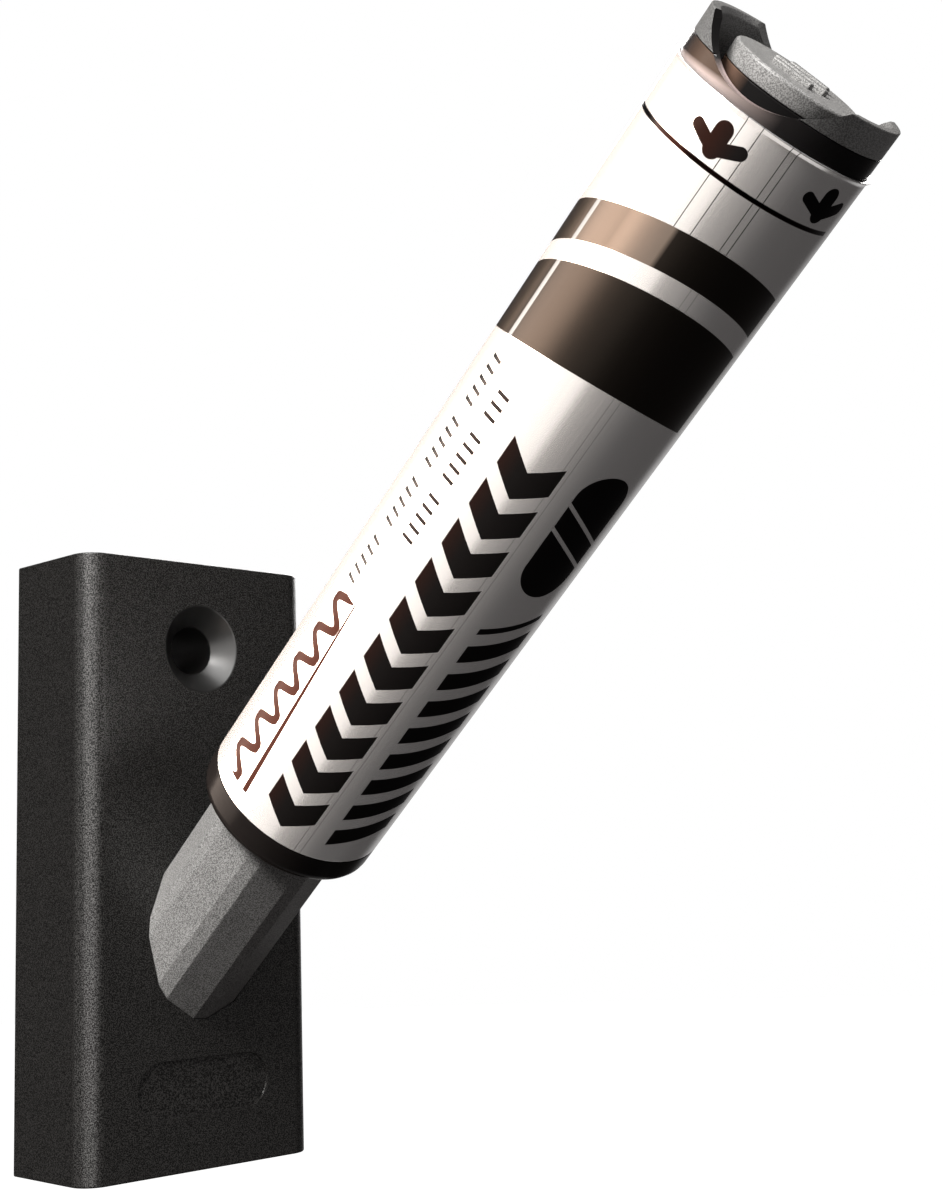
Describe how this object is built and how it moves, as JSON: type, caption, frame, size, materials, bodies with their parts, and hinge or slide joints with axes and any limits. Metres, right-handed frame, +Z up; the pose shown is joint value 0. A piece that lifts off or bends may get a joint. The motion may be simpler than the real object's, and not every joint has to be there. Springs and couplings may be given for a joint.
{
  "type": "marker holder",
  "caption": "Wall block with a countersunk screw hole and a tilted socket that holds a marker by its cap; the pump-action marker pulls out of the cap and has a sprung push button in its tail.",
  "frame": {"origin": "on the axis of the screw hole, in the plane of the wall (the block's back face)", "axes": "+Z up the wall, +X to the right along the wall as seen from the front, +Y into the wall, so the marker stands out towards -Y"},
  "size_m": [0.028, 0.0966, 0.0957],
  "materials": {
    "block_plastic": "near-black moulded plastic with a fine spark grain",
    "cap_plastic": "mid-grey plastic with a fine speckle",
    "collar_plastic": "gloss black plastic",
    "label_film": "white printed film, satin gloss",
    "barrel_plastic": "white moulded plastic",
    "crown_plastic": "dark grey plastic",
    "button_plastic": "mid-grey plastic with a fine speckle",
    "inner_plastic": "natural white moulded plastic",
    "nib_felt": "ink-soaked fibre",
    "wick_fibre": "ink-soaked fibre",
    "seal_rubber": "soft black rubber",
    "spring_steel": "drawn steel wire"
  },
  "bodies": {
    "holder": {"holder_block": "block_plastic"},
    "cap": {"cap_shell": "cap_plastic", "cap_liner": "inner_plastic"},
    "marker": {"nib": "nib_felt", "nose_section": "inner_plastic", "plug_seal": "seal_rubber", "front_collar": "collar_plastic", "feed_wick": "wick_fibre", "ink_collector": "inner_plastic", "feed_plate": "inner_plastic", "barrel_tube": "barrel_plastic", "label_film": "label_film", "pump_housing": "inner_plastic", "check_valve": "seal_rubber", "return_spring": "spring_steel", "tail_crown": "crown_plastic", "tail_band": "collar_plastic"},
    "button": {"push_button": "button_plastic", "button_body": "collar_plastic", "plunger": "inner_plastic", "piston_seal": "seal_rubber"}
  },
  "joints": [
    {"name": "cap_pull", "type": "slide", "parent": "holder", "child": "cap", "axis": [0, -0.766, 0.6428], "range_m": [0, 0.016]},
    {"name": "marker_pull", "type": "slide", "parent": "cap", "child": "marker", "axis": [0, -0.766, 0.6428], "range_m": [0, 0.06]},
    {"name": "button_press", "type": "slide", "parent": "marker", "child": "button", "axis": [0, 0.766, -0.6428], "range_m": [0, 0.0025], "stiffness_N_per_m": 300, "springref_m": -0.003, "deforming": ["return_spring"]}
  ]
}
